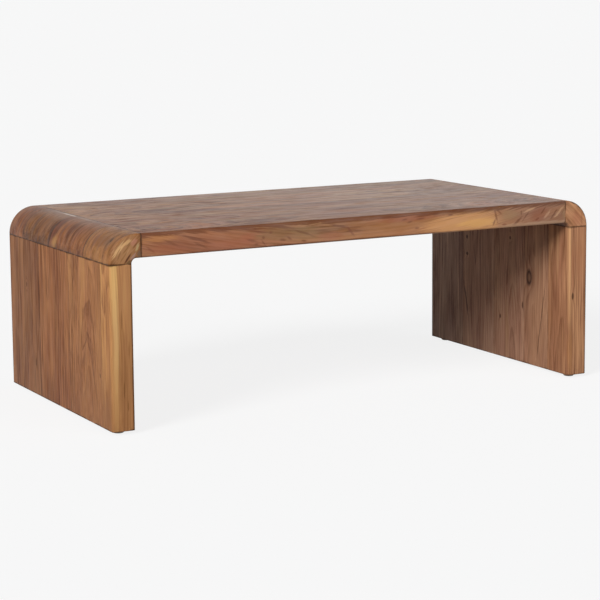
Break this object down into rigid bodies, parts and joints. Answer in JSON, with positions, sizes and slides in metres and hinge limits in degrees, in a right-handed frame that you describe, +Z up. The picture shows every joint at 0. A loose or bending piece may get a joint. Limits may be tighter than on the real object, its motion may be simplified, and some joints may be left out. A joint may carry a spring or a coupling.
{
  "type": "waterfall coffee table",
  "caption": "Low solid wood coffee table whose slab top turns down at both ends into slab legs through rounded corner blocks, standing on small nail-on glides.",
  "frame": {"origin": "on the floor under the middle of the top", "axes": "+X along the length to the end on the right in the picture, +Y from front to back, +Z up"},
  "size_m": [1.22, 0.6, 0.425],
  "materials": {
    "top_wood": "satin oil",
    "corner_wood": "satin oil",
    "leg_wood": "satin oil",
    "dowel_beech": "bare, glued",
    "glide_plastic": "moulded",
    "nail_steel": "bright"
  },
  "bodies": {
    "root": {"top_board_1": "top_wood", "top_board_2": "top_wood", "top_board_3": "top_wood", "top_board_4": "top_wood", "top_board_5": "top_wood", "left_corner_stave_1": "corner_wood", "left_corner_stave_2": "corner_wood", "left_corner_stave_3": "corner_wood", "left_corner_stave_4": "corner_wood", "left_leg_board_1": "leg_wood", "left_leg_board_2": "leg_wood", "left_leg_board_3": "leg_wood", "left_leg_board_4": "leg_wood", "left_top_dowels": "dowel_beech", "left_leg_dowels": "dowel_beech", "left_front_glide": "glide_plastic", "left_back_glide": "glide_plastic", "right_corner_stave_1": "corner_wood", "right_corner_stave_2": "corner_wood", "right_corner_stave_3": "corner_wood", "right_corner_stave_4": "corner_wood", "right_leg_board_1": "leg_wood", "right_leg_board_2": "leg_wood", "right_leg_board_3": "leg_wood", "right_leg_board_4": "leg_wood", "right_leg_board_5": "leg_wood", "right_top_dowels": "dowel_beech", "right_leg_dowels": "dowel_beech", "right_front_glide": "glide_plastic", "right_back_glide": "glide_plastic", "glide_nails": "nail_steel"}
  },
  "joints": []
}
